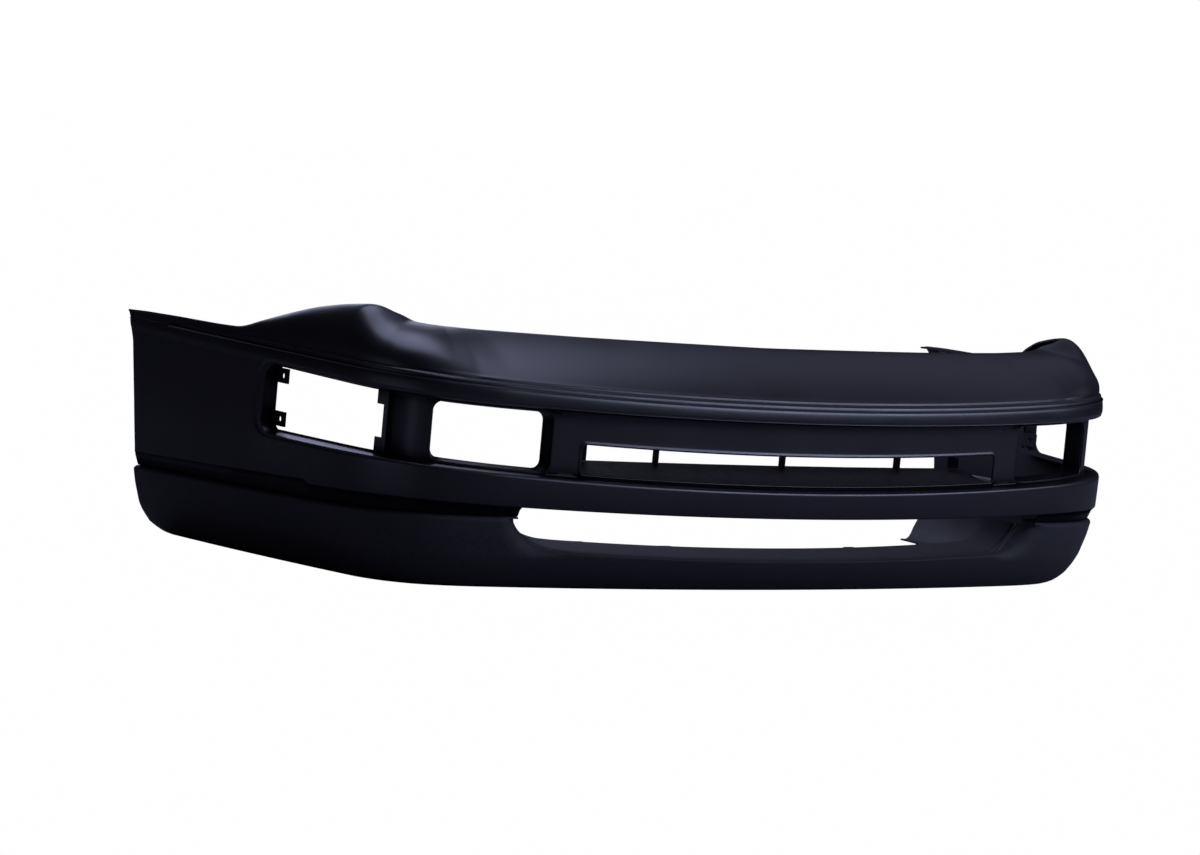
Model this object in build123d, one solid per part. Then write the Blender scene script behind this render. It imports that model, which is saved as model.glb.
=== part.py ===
"""Front bumper cover of a low sports coupe, as an assembly of its separate mouldings and fasteners.

Millimetres.  +X is the viewer's right, the front faces -Y and +Z is up.  Everything follows one plan
contour, the curve of the front roll seen from above.  A place on the bumper is given by s, the distance
along that contour from the centreline (negative on the left), by d, how far it stands out from the
contour (negative is inboard), and by its height z.
"""
from build123d import *
from math import cos, hypot, radians, sin
import os

os.makedirs("parts", exist_ok=True)

# ---- driving dimensions -------------------------------------------------------------------------------
# plan contour: (radius, heading at the end of that arc in degrees)
CONTOUR = [(4100, 8.2), (500, 19.0), (211, 77.7), (3990, 95.0)]
WALL = 3.5                  # moulding wall thickness
SEAM_GAP = 0.4              # air between two mouldings that meet
REAR_FLANK = 1460           # contour length that the flanks are moulded to before trimming

# heights at the centreline, and how much each line rises at the corners and toward the rear
CREASE = (324.6, 33.0, 11.0)
ROLL_TOP = (313.3, 33.5, 13.0)
ROLL_BOTTOM = (289.4, 24.4, 24.5)
LOWER_ROLL_TOP = (175.0, 38.0, 6.0)
LOWER_ROLL_BOTTOM = (129.9, 26.5, -21.8)
SEAM = (123.5, 0.0, -7.0)
CHANNEL_DEPTH = 20.0
CHANNEL_END = 1072          # contour distance where the styling channel closes on each flank
LOWER_ROLL_PROUD = 6.3
SEAM_INSET = 8.0
DAM_FOOT_INSET = 72.0       # how far inboard the bottom edge of the air dam stands
FLANGE = 30.0               # width of the flanges that join fascia and dam

# top edge of the upper panel: (contour distance, inset from the contour, height)
TOP_EDGE = [
    (0, 140, 403), (400, 145, 406), (600, 151, 409), (682, 148, 411), (760, 134, 413), (820, 117, 416),
    (850, 92, 428), (879, 65, 441), (940, 56, 434), (1000, 50, 423), (1060, 36, 405), (1110, 17, 387),
    (1138, 11, 375), (1200, 6, 374), (1300, 4, 374.7), (1400, 4, 374), (REAR_FLANK, 4, 371.5),
]
# crease below the upper panel: (contour distance, inset from the contour, lift above the CREASE line)
CREASE_EDGE = [(0, 28, 0), (640, 28, 0), (800, 8, 3), (940, 8, 5), (1060, 8, 6), (1200, 4, 6), (REAR_FLANK, 4, 6)]
PANEL_BULGE = 9.0           # how far the upper panel swells in its middle
EAR = (680, 780, 1040, 1138)    # contour distances where the ear's round shoulder starts, is full, fades, ends
HOOD_FLANGE = 16.0          # turned-in edge along the hood and the fenders
EAR_FLANGE = 8.0            # the same edge round the ears

# openings, in contour distance
SLOT_HALF = 446
DRIVING_LAMP = (503, 720)   # inner and outer edge of each driving-lamp hole
TURN_LAMP = (810, 1060)     # inner and rear edge of each turn-lamp hole
INTAKE_HALF = 560
INTAKE_SILL = 56.0
RIM_INSET = 105.0           # how far inboard the rim of the intake runs back
RIM_REAR = [(0, RIM_INSET), (450, RIM_INSET), (530, 62), (640, 62)]
RIM_SLOPE = 0.14            # its rise toward the rear
POCKET_DEPTH = 30.0         # depth of the lamp pockets behind the channel floor

# behind the slot
SHELF_REAR = 90.0           # inset of the shelf's rear edge
STAY_SPACING = 266.0

SHELF_REAR_HEIGHT = 209.0
STAY_THICK = 3.0
STAY_DEPTH = 15.0
BRACKET_INSET = 84.0
BRACKET_HOLE_HEIGHT = 232.0

# tabs
LAMP_TAB_HEIGHTS = (224, 294)   # lower edges of the rear tabs of a turn lamp
LAMP_TAB_SIZE = (30.0, 24.0)    # length and height
LAMP_TAB_HOLE = 5.0         # radius of the grommet holes
LAMP_FRAME_WIDTH = 8.0
INTAKE_TABS = (-385, -205, 205, 385)

# fasteners
RIVETS = (620, 760, 900, 1080, 1260)    # contour distances of the push rivets on each side
RIVET_INSET = 28.0
RIVET_SHANK = 3.5           # radius
PIN_RADIUS = 2.0
PIN_CLEARANCE = 0.06
PIN_TRAVEL = 8.0
HOOD_HOLES = (150, 450)     # contour distances of the holes in the hood flange
FENDER_SCREWS = (1250, 1350)    # contour distances of the screws into each fender
FENDER_SCREW_INSET = 14.0
FENDER_SCREW_RADIUS = 3.0
NUT_RADIUS = 5.0
NUT_HEIGHT = 5.0

SIDES = (("left", -1), ("right", 1))


# ---- contour ------------------------------------------------------------------------------------------
def contour(s):
    """Point and heading of the plan contour at distance s from the centreline."""
    side = -1 if s < 0 else 1
    left = abs(s)
    x = y = heading = 0.0
    for radius, end in CONTOUR:
        turn = min(left / radius, radians(end) - heading)
        x += radius * (sin(heading + turn) - sin(heading))
        y += radius * (cos(heading) - cos(heading + turn))
        heading += turn
        left -= turn * radius
    return side * x, y, side * heading


def place(s, d, z):
    """Point that stands d out from the contour at distance s, at height z."""
    x, y, heading = contour(s)
    return Vector(x + d * sin(heading), y - d * cos(heading), z)


def height(line, s):
    """Height of a styling line at contour distance s."""
    x, y, _ = contour(s)
    centre, corner_rise, rear_rise = line
    return centre + corner_rise * (x / 900) ** 2 + rear_rise * y / 600


def along(table, s, column):
    """Linear interpolation in a table of rows that start with a contour distance."""
    s = min(abs(s), table[-1][0])
    for low, high in zip(table, table[1:]):
        if s <= high[0]:
            share = (s - low[0]) / (high[0] - low[0])
            return low[column] + share * (high[column] - low[column])


def stations(start, end):
    """Contour distances for cross-sections: wide apart where it is nearly straight, close at the corner."""
    marks = [0, 150, 300, 450, 530, 588, 620, 651, 682, 705, 730, 760, 790, 820, 835, 850, 865, 879, 898]
    marks += [940, 1000, 1060, 1072, 1085, 1110, 1138, 1158, 1200, 1330]
    marks = [-mark for mark in reversed(marks[1:])] + marks
    return [start] + [mark for mark in marks if start + 6 < mark < end - 6] + [end]


def inward(outline, wall):
    """The open outline of (d, z) points, moved by the wall thickness to its right-hand side."""
    moved = []
    for i, (d, z) in enumerate(outline):
        before = outline[max(i - 1, 0)]
        after = outline[min(i + 1, len(outline) - 1)]
        normals = []
        for (d1, z1), (d2, z2) in ((before, (d, z)), ((d, z), after)):
            length = hypot(d2 - d1, z2 - z1)
            if length > 1e-9:
                normals.append(((z2 - z1) / length, -(d2 - d1) / length))
        nd = sum(n[0] for n in normals) / len(normals)
        nz = sum(n[1] for n in normals) / len(normals)
        scale = wall / (nd * nd + nz * nz)
        moved.append((d + nd * scale, z + nz * scale))
    return moved


def band(profile, start, end):
    """Solid with the closed cross-section profile(s) in (d, z), carried along the contour."""
    sections = []
    for s in stations(start, end):
        sections.append(Wire.make_polygon([place(s, d, z) for d, z in profile(s)], close=True))
    return Solid.make_loft(sections, ruled=True)


def shell(profile, start, end):
    """Thin moulding whose outer face has the open cross-section profile(s)."""
    def ring(s):
        outer = profile(s)
        return outer + inward(outer, WALL)[::-1]
    return band(ring, start, end)


def block(start, end, d_back, d_front, bottom, top):
    """Solid that follows the contour between two depths and two heights, given as functions of s."""
    def section(s):
        return [(d_back, bottom(s)), (d_front, bottom(s)), (d_front, top(s)), (d_back, top(s))]
    return band(section, start, end)


def upright(s, d, radius, bottom, top):
    """Vertical cylinder at a place on the contour."""
    spot = place(s, d, bottom)
    return Pos(spot) * Cylinder(radius, top - bottom, align=(Align.CENTER, Align.CENTER, Align.MIN))


def slab(x, y, z):
    """Box between pairs of limits."""
    size = (x[1] - x[0], y[1] - y[0], z[1] - z[0])
    return Pos((x[0] + x[1]) / 2, (y[0] + y[1]) / 2, (z[0] + z[1]) / 2) * Box(*size)


def across(outline):
    """Prism with an outline in the (y, z) plane that runs across the whole width."""
    face = make_face(Plane.YZ * Polyline(*outline, close=True))
    return extrude(face, 1100, both=True)


# ---- fascia -------------------------------------------------------------------------------------------
def lamp_bottom(s):
    return height(LOWER_ROLL_TOP, s) + 6


def lamp_top(s):
    return height(ROLL_BOTTOM, s) - 6


def slot_bottom(s):
    return height(LOWER_ROLL_TOP, s) + 8


def slot_top(s):
    return height(LOWER_ROLL_TOP, s) + 57


def flange_width(s):
    return EAR_FLANGE if 860 < abs(s) < 1150 else HOOD_FLANGE


def ear_share(s):
    """How much of the ear's round shoulder the panel has."""
    start, full, fading, end = EAR
    return min(max((abs(s) - start) / (full - start), 0), 1, max((end - abs(s)) / (end - fading), 0))


def panel_points(s):
    """Upper panel from its top edge down to the crease: nearly flat at the front, elliptical at the ears."""
    top_inset = along(TOP_EDGE, s, 1)
    top = along(TOP_EDGE, s, 2)
    inset = along(CREASE_EDGE, s, 1)
    crease = min(height(CREASE, s) + along(CREASE_EDGE, s, 2), top - 9)
    bulge = PANEL_BULGE * min((top - crease) / 80, 1)
    ear = ear_share(s)
    points = [(-top_inset, top)]
    for angle in (60, 40, 20):
        up = angle / 90
        swell = 4 * up * (1 - up) * bulge
        out_share = (1 - ear) * up + ear * (1 - cos(radians(angle)))
        up_share = (1 - ear) * up + ear * sin(radians(angle))
        rise = crease + (top - crease) * up_share + 0.8 * swell * (1 - ear)
        depth = -inset - (top_inset - inset) * out_share + 0.6 * swell * (1 - ear)
        points.append((depth, min(rise, top - 4.8)))
    return points + [(-inset, crease)]


def fascia_profile(s):
    """Outer face of the fascia from the hood flange down to the seam flange."""
    roll_bottom = height(ROLL_BOTTOM, s)
    lower_top = height(LOWER_ROLL_TOP, s)
    seam = height(SEAM, s)
    open_share = min(max((CHANNEL_END + 13 - abs(s)) / 25, 0), 1)
    floor = CHANNEL_DEPTH * open_share
    panel = panel_points(s)
    top_d, top_z = panel[0]
    return [(top_d - flange_width(s), top_z - 1)] + panel + [
        (-2.4, height(ROLL_TOP, s)),
        (0, roll_bottom),
        (-floor, roll_bottom - 3),
        (-floor + 3 * open_share, lower_top + 4),
        (LOWER_ROLL_PROUD * min(1, open_share + 0.3), lower_top),
        (2, height(LOWER_ROLL_BOTTOM, s)),
        (-SEAM_INSET, seam),
        (-SEAM_INSET - FLANGE, seam),
    ]


def wheel_arch():
    """Everything behind the flank's rear edge, which leans back to its top corner."""
    edge = [(707, 60), (707, 141), (721, 223), (741, 325), (757, 362), (775, 382)]
    return across(edge + [(775, 500), (950, 500), (950, 60)])


def intake_mouth():
    """Lower intake seen from the front: a long sill with rounded ends, open to the seam."""
    half = INTAKE_HALF
    sill = ThreePointArc((-440, INTAKE_SILL + 9), (0, INTAKE_SILL), (440, INTAKE_SILL + 9))
    left_end = ThreePointArc((-half, 116), (-half + 26, 84), (-440, INTAKE_SILL + 9))
    right_end = ThreePointArc((440, INTAKE_SILL + 9), (half - 26, 84), (half, 116))
    top = Polyline((half, 116), (half, 170), (-half, 170), (-half, 116))
    return Curve() + [left_end, sill, right_end], top


def build_fascia():
    fascia = shell(fascia_profile, -REAR_FLANK, REAR_FLANK)
    fascia -= wheel_arch()
    fascia -= block(-SLOT_HALF, SLOT_HALF, -40, 20, slot_bottom, slot_top)
    for _, side in SIDES:
        for inner, outer in (DRIVING_LAMP, TURN_LAMP):
            start, end = sorted((side * inner, side * outer))
            fascia -= block(start, end, -40, 20, lamp_bottom, lamp_top)
        for s in RIVETS:
            seam = height(SEAM, s)
            fascia -= upright(side * s, -RIVET_INSET, RIVET_SHANK + 0.3, seam - 5, seam + 12)
        for s in HOOD_HOLES:
            fascia -= upright(side * s, -along(TOP_EDGE, s, 1) - HOOD_FLANGE / 2, 3.5, 380, 420)
        for s in FENDER_SCREWS:
            fascia -= upright(side * s, -FENDER_SCREW_INSET, FENDER_SCREW_RADIUS + 0.5, 365, 380)
    # the bevel and seam flange stop short of the intake
    over_intake = block(-INTAKE_HALF - 5, INTAKE_HALF + 5, -60, 20, lambda s: 100,
                        lambda s: height(LOWER_ROLL_BOTTOM, s) + 0.4)
    return fascia - over_intake


# ---- air dam ------------------------------------------------------------------------------------------
def dam_face(s):
    """Outer face of the air dam, below its top flange."""
    top = height(SEAM, s) - SEAM_GAP
    return [(-SEAM_INSET - 1, top), (-1, top - 7), (-6, 89), (-17, 55), (-38, 21), (-56, 6), (-DAM_FOOT_INSET, 0)]


def rim_inset(s):
    """How far back the mouth's rim reaches: less at the mouth's ends."""
    return along(RIM_REAR, s, 1)


def dam_profile(s):
    top = height(SEAM, s) - SEAM_GAP
    return [(-SEAM_INSET - FLANGE, top)] + dam_face(s) + [(-DAM_FOOT_INSET - 12, 0)]


def build_air_dam():
    dam = shell(dam_profile, -REAR_FLANK + 10, REAR_FLANK - 10)
    edge = [(709, 200), (709, 45), (703, 20), (690, 7), (672, -5), (950, -5), (950, 200)]
    dam -= across(edge)
    lower, top = intake_mouth()
    mouth = make_face(Plane.XZ * (lower + top))
    dam -= Pos(0, -80, 0) * extrude(mouth, -260)
    # rim that runs back from the mouth, trimmed to the dam's face
    lip = make_face(offset(lower.wires()[0], WALL, side=Side.RIGHT))
    rim = extrude(Pos(0, 0, -4) * (Plane.XZ * lip), 200, dir=(0, 1, RIM_SLOPE))
    envelope = band(lambda s: dam_face(s) + [(-rim_inset(s), 0), (-rim_inset(s), height(SEAM, s) - 2)], -640, 640)
    dam += rim & envelope
    for _, side in SIDES:
        for s in RIVETS:
            seam = height(SEAM, s)
            dam -= upright(side * s, -RIVET_INSET, RIVET_SHANK + 0.3, seam - 10, seam + 5)
    return dam


# ---- pieces behind the openings -----------------------------------------------------------------------
def pocket(start, end, inner_bottom, inner_top, depth):
    """Four-sided tube behind an opening, just clear of the back of the channel floor."""
    front = -CHANNEL_DEPTH - WALL - 3 * SEAM_GAP
    tube = block(start - WALL, end + WALL, front - depth, front, lambda s: inner_bottom(s) - WALL,
                 lambda s: inner_top(s) + WALL)
    hole = block(start, end, front - depth - 5, front + 5, inner_bottom, inner_top)
    return tube - hole


def build_driving_lamp_surround(side):
    start, end = sorted((side * DRIVING_LAMP[0], side * DRIVING_LAMP[1]))
    return pocket(start, end, lamp_bottom, lamp_top, POCKET_DEPTH)


def build_turn_lamp_frame(side):
    """Flat frame behind the turn-lamp hole, with two tabs at its inner end and two with holes at its rear."""
    front = -CHANNEL_DEPTH - WALL - 3 * SEAM_GAP
    back = front - WALL
    inner, rear = TURN_LAMP
    wide = LAMP_FRAME_WIDTH
    length, tall = LAMP_TAB_SIZE
    start, end = sorted((side * (inner - wide), side * (rear + wide)))
    frame = block(start, end, back, front, lambda s: lamp_bottom(s) - wide, lambda s: lamp_top(s) + wide)
    start, end = sorted((side * inner, side * rear))
    frame -= block(start, end, back - 5, front + 5, lamp_bottom, lamp_top)
    start, end = sorted((side * (inner - 2), side * (inner + 13)))
    frame += block(start, end, back, front, lambda s: lamp_top(s) - 22, lambda s: lamp_top(s) + 2)
    frame += block(start, end, back, front, lambda s: lamp_bottom(s) - 2, lambda s: lamp_bottom(s) + 22)
    rear_x, rear_y, _ = contour(rear)
    x = sorted((side * (rear_x + front), side * (rear_x + back)))
    for low in LAMP_TAB_HEIGHTS:
        tab = slab(x, (rear_y - length, rear_y + wide), (low, low + tall))
        hole = Pos(side * rear_x, rear_y - length / 2, low + tall / 2) * Rot(0, 90, 0)
        frame += tab - hole * Cylinder(LAMP_TAB_HOLE, 100)
    return frame


def shelf_top(s):
    """Front and rear height of the slot's shelf."""
    front = height(LOWER_ROLL_TOP, s) + 6
    return front, SHELF_REAR_HEIGHT


def build_slot_shelf():
    front = -CHANNEL_DEPTH - WALL + 2.5

    def section(s):
        low, high = shelf_top(s)
        return [(-SHELF_REAR, high - 3), (front, low - 3), (front, low), (-SHELF_REAR, high)]
    return band(section, -SLOT_HALF + 8, SLOT_HALF - 8)


def build_slot_stay(s):
    """Upright rib on the shelf's rear edge with an arm forward to the back of the channel floor."""
    front = -CHANNEL_DEPTH - WALL - SEAM_GAP
    rear = -SHELF_REAR + 2
    arm = slot_top(s) + 4
    outline = [
        (rear, SHELF_REAR_HEIGHT + 0.3), (rear + STAY_DEPTH, SHELF_REAR_HEIGHT - 5),
        (rear + STAY_DEPTH, arm), (front, arm), (front, arm + 12), (rear, arm + 12),
    ]
    return band(lambda mark: outline, s - STAY_THICK / 2, s + STAY_THICK / 2)


def build_slot_bracket(side):
    """End bracket of the slot: an upright plate with a slotted hole."""
    start, end = sorted((side * 400, side * 426))
    plate = block(start, end, -BRACKET_INSET - 3, -BRACKET_INSET, lambda s: SHELF_REAR_HEIGHT + 0.4,
                  lambda s: slot_top(s) + 12)
    foot = block(start, end, -BRACKET_INSET, -CHANNEL_DEPTH - WALL - SEAM_GAP, lambda s: slot_top(s) + 9,
                 lambda s: slot_top(s) + 12)
    x, y, heading = contour(side * 413)
    hole = Pos(x, y, BRACKET_HOLE_HEIGHT) * Rot(90, 0, 0) * extrude(SlotOverall(16, 8), 150, both=True)
    return plate + foot - hole


def build_ear_tab(side):
    """Small upright rib behind each ear, beside its turned-in edge."""
    start, end = sorted((side * 888, side * 891))
    return block(start, end, -84, -72.5, lambda s: 415, lambda s: 436)


def build_intake_tabs():
    """Four flat tabs on the rear edge of the intake rim, with holes for the undertray's screws."""
    tabs = []
    for s in INTAKE_TABS:
        top = INTAKE_SILL + 9 * (s / 440) ** 2 - 4 + RIM_SLOPE * 92
        tab = block(s - 11, s + 11, -RIM_INSET - 14, -RIM_INSET - 0.3, lambda m: top - 3, lambda m: top)
        tabs.append(tab - upright(s, -RIM_INSET - 7, 3, top - 10, top + 10))
    return Compound(tabs)


# ---- fasteners ----------------------------------------------------------------------------------------
def build_fender_retainer(side):
    """Steel strip under the flank's top flange with two welded nuts for the fender's screws."""
    start, end = sorted((side * 1215, side * 1385))

    def under(s):
        return along(TOP_EDGE, s, 2) - 1.5 - WALL - SEAM_GAP
    strip = block(start, end, -19.5, -9.5, lambda s: under(s) - 2.5, under)
    for s in FENDER_SCREWS:
        face = under(s) - 2
        strip += upright(side * s, -FENDER_SCREW_INSET, NUT_RADIUS, face - NUT_HEIGHT, face)
        strip -= upright(side * s, -FENDER_SCREW_INSET, FENDER_SCREW_RADIUS, face - 20, face + 20)
    return strip


def build_rivet_sleeve(s):
    seam = height(SEAM, s)
    top = seam - SEAM_GAP - WALL - 0.3
    sleeve = upright(s, -RIVET_INSET, 8, top - 2, top - 0.1)
    sleeve += upright(s, -RIVET_INSET, RIVET_SHANK, top - 1, seam + WALL + 5)
    return sleeve - upright(s, -RIVET_INSET, PIN_RADIUS + PIN_CLEARANCE, top - 5, seam + 20)


def build_push_pin(s):
    seam = height(SEAM, s)
    under = seam - SEAM_GAP - WALL - 2.3 - 0.05
    pin = upright(s, -RIVET_INSET, 4.5, under - 1.6, under)
    return pin + upright(s, -RIVET_INSET, PIN_RADIUS, under - 1, seam + WALL + 7)


# ---- assembly -----------------------------------------------------------------------------------------
pieces = {
    "fascia": build_fascia(),
    "air_dam": build_air_dam(),
    "slot_shelf": build_slot_shelf(),
    "intake_tabs": build_intake_tabs(),
    "rivet_sleeves": Compound([build_rivet_sleeve(side * s) for _, side in SIDES for s in RIVETS]),
}
for place_name, s in (("left", -STAY_SPACING), ("centre", 0), ("right", STAY_SPACING)):
    pieces["slot_stay_" + place_name] = build_slot_stay(s)
for side_name, side in SIDES:
    pieces["driving_lamp_surround_" + side_name] = build_driving_lamp_surround(side)
    pieces["turn_lamp_frame_" + side_name] = build_turn_lamp_frame(side)
    pieces["slot_bracket_" + side_name] = build_slot_bracket(side)
    pieces["ear_tab_" + side_name] = build_ear_tab(side)
    pieces["fender_retainer_" + side_name] = build_fender_retainer(side)
    for number, s in enumerate(RIVETS, start=1):
        pieces["push_pin_%s_%d" % (side_name, number)] = build_push_pin(side * s)

# the origin is under the middle of the bumper's box
limits = Compound(list(pieces.values())).bounding_box()
to_origin = Pos(0, -(limits.min.Y + limits.max.Y) / 2, -limits.min.Z)
for name, piece in pieces.items():
    export_step(to_origin * piece, "parts/%s.step" % name)
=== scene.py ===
"""Looks for the front bumper cover: dense skins over the CAD frame, materials, studio and camera.

The skins are built in the same terms as the CAD model: s is the distance along the plan contour from the
centreline (negative on the left), d is how far a point stands out from the contour, z is its height.
Lengths are millimetres until place() turns them into the frame's metres; the floor, the lamps and the
camera are in metres.
"""
import bmesh
import bpy
import numpy as np
from mathutils import Matrix, Vector


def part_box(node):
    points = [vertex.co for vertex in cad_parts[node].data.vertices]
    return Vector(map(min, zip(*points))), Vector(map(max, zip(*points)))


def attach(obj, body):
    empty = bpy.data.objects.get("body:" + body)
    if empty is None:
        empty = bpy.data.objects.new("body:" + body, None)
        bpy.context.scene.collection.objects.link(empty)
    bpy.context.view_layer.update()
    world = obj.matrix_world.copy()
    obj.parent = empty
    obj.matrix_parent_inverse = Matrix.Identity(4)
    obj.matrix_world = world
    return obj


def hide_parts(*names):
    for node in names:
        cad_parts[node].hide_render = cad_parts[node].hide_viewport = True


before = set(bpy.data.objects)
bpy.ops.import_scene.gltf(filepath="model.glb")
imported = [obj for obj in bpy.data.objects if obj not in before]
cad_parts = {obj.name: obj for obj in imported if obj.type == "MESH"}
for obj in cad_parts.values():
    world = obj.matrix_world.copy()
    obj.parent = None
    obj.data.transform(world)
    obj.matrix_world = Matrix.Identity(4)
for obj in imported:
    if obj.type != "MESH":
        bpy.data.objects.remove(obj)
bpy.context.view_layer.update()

# ---- driving dimensions, in millimetres ---------------------------------------------------------------
# The styling lines and the openings' ends are the CAD model's. The openings' heights and round corners,
# the walls, the channel's end, the rear edges and the air dam's face differ a little from it. All of it
# stays inside the CAD model's box.

# plan contour: (radius, heading in degrees at the end of that arc)
CONTOUR = [(4100, 8.2), (500, 19.0), (211, 77.7), (3990, 95.0)]
STAY_FRONT = 23.9           # depth of the centre stay's front face behind the contour's foremost point
FRONT_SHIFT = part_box("slot_stay_centre")[0][1] * 1000 - STAY_FRONT     # the frame's y of that point

# styling line: (height at the centre, rise at the corners 900 mm out, rise for 600 mm toward the rear)
CREASE = (324.6, 33.0, 11.0)
ROLL_TOP = (313.3, 33.5, 13.0)
ROLL_BOTTOM = (289.4, 24.4, 24.5)
LOWER_ROLL_TOP = (175.0, 38.0, 6.0)
LOWER_ROLL_BOTTOM = (129.9, 26.5, -21.8)
SEAM = (123.5, 0.0, -7.0)

# edges of the upper panel over contour distance: inset from the contour, and height or lift over CREASE
TOP_EDGE_S = [0, 400, 600, 682, 760, 820, 850, 879, 940, 1000, 1060, 1110, 1138, 1200, 1300, 1400, 1460]
TOP_EDGE_INSET = [140, 145, 151, 148, 134, 117, 92, 65, 56, 50, 36, 17, 11, 6, 4, 4, 4]
TOP_EDGE_HEIGHT = [403, 406, 409, 411, 413, 416, 428, 441, 434, 423, 405, 387, 375, 374, 374.7, 374,
                   371.5]
CREASE_EDGE_S = [0, 640, 800, 940, 1060, 1200, 1460]
CREASE_EDGE_INSET = [28, 28, 8, 8, 8, 4, 4]
CREASE_EDGE_LIFT = [0, 0, 3, 5, 6, 6, 6]
PANEL_BULGE = 9.0
HOOD_FLANGE = 16.0          # turned-in edge along the hood and the fenders
EAR_FLANGE = 8.0            # the same edge round the ears
FLOOR = 20.0                # depth of the styling channel
FLOOR_DIP = 13.0            # how much deeper its floor is beside the turn lamp
DIP_START = 748
WALL_RETURN = 9 / 13        # how much of that dip the channel's wall loses again round the turn lamp
SEAM_INSET = 8.0
DRIVING_LAMP = (503, 720)   # inner and outer edge of each driving-lamp hole
LAMP_CORNER = 17.0          # its corners' radius
LAMP_MARGIN = 6.5           # its distance from the channel's upper and lower edges
SLOT_HALF = 446
SLOT_CORNER = 7.0
SLOT_HEIGHTS = (9, 57)      # the slot's lower and upper edge above the lower roll's top line
PILLAR_END = 806            # where the channel floor stops at the turn lamp
CHANNEL_END = 1060          # rear wall of the channel
CHANNEL_CORNER = 24.0
CHANNEL_BEND = 1000         # where the patch round the channel's rear end starts
PATCH_END = 1112            # rear limit of the area around the channel
FLANK_END = 1440            # contour distance that the flanks' rows are worked out to
PATCH_ABOVE = 9             # how far that area reaches above the channel
PATCH_BELOW = 12            # and below it
BEVEL_STEP = (936, 944)     # where the lower roll's edge steps up and the bevel widens
BEVEL_RISE = 6.5            # by how much
ROLL_PROUD = 1.9            # how far the lower roll stands out on the flanks
ROLL_PROUD_FRONT = 4.4      # how much further it stands out across the front
LOWER_FULLNESS = 0.2        # how far the lower roll's face swells in its middle
UPPER_FULLNESS = 0.9        # how far the upper roll's does
UPPER_LEAN = 2.4            # how far the upper roll's face falls back at its top
REAR_TUCK = 0.9             # how far the whole face is drawn in on the flanks
INTAKE_HALF = 560
WALL = 3.0

# rear edges: depth behind the contour's foremost point over height
REAR_Z = [60, 141, 223, 325, 362, 382]
REAR_Y = [704, 704, 718, 738, 754, 772]
DAM_REAR_Z = [-5, 7, 20, 45, 200]
DAM_REAR_Y = [669, 687, 700, 706, 706]


# ---- curves -------------------------------------------------------------------------------------------
def contour(s):
    """Points and headings of the plan contour at the distances s."""
    s = np.asarray(s, float)
    left = np.abs(s)
    x = np.zeros_like(s)
    y = np.zeros_like(s)
    heading = np.zeros_like(s)
    for radius, end in CONTOUR:
        turn = np.minimum(left / radius, np.radians(end) - heading)
        x += radius * (np.sin(heading + turn) - np.sin(heading))
        y += radius * (np.cos(heading) - np.cos(heading + turn))
        heading = heading + turn
        left = left - turn * radius
    side = np.where(s < 0, -1.0, 1.0)
    return side * x, y, side * heading


def place(s, d, z):
    """Frame positions, in metres, of points given by s, d and z."""
    s, d, z = np.broadcast_arrays(s, d, z)
    x, y, heading = contour(s)
    spots = np.stack([x + d * np.sin(heading), y - d * np.cos(heading) + FRONT_SHIFT, z], axis=-1)
    return spots / 1000


def height(line, s):
    """Height of a styling line at the distances s."""
    x, y, _ = contour(s)
    return line[0] + line[1] * (x / 900) ** 2 + line[2] * y / 600


def smooth(value, low, high):
    """0 below low, 1 above high, with a soft change between."""
    t = np.clip((np.asarray(value, float) - low) / (high - low), 0, 1)
    return t * t * (3 - 2 * t)


# contour distances on a flank and their depths, to find one from the other
MARKS = np.linspace(1000, 1500, 400)
MARKS_Y = contour(MARKS)[1]
EDGE_MARKS = np.arange(0, TOP_EDGE_S[-1] + 1, 4.0)


def rear_end(z, heights, edge):
    """Contour distance of a rear edge at height z."""
    return np.interp(np.interp(z, heights, edge), MARKS_Y, MARKS)


def softened(table):
    """A top edge table's values at EDGE_MARKS, with its corners rounded so that the edge flows."""
    reach = 8
    values = np.interp(EDGE_MARKS, TOP_EDGE_S, table)
    padded = np.concatenate([values[reach:0:-1], values, np.full(reach, values[-1])])
    kernel = np.hanning(2 * reach + 1)[1:-1]
    return np.convolve(padded, kernel / kernel.sum(), mode="same")[reach:-reach]


SOFT_INSET = softened(TOP_EDGE_INSET)
SOFT_HEIGHT = softened(TOP_EDGE_HEIGHT)


def path_steps(path):
    """Distance along a path to each of its points."""
    return np.concatenate([[0], np.cumsum(np.hypot(*np.diff(path, axis=0).T))])


def path_points(path, marks):
    """Points of a path at the distances marks along it."""
    steps = path_steps(path)
    return np.stack([np.interp(marks, steps, path[:, 0]), np.interp(marks, steps, path[:, 1])], axis=1)


def outward_of(along):
    """Unit vectors to the left of the directions along a path."""
    along = along / np.hypot(*along.T)[:, None]
    return np.stack([-along[:, 1], along[:, 0]], axis=1)


# ---- mesh building ------------------------------------------------------------------------------------
WELD = 2e-5                 # metres within which the patches' points are joined
SHARP_ANGLE = 38            # degrees from which an edge is shaded sharp


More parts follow.
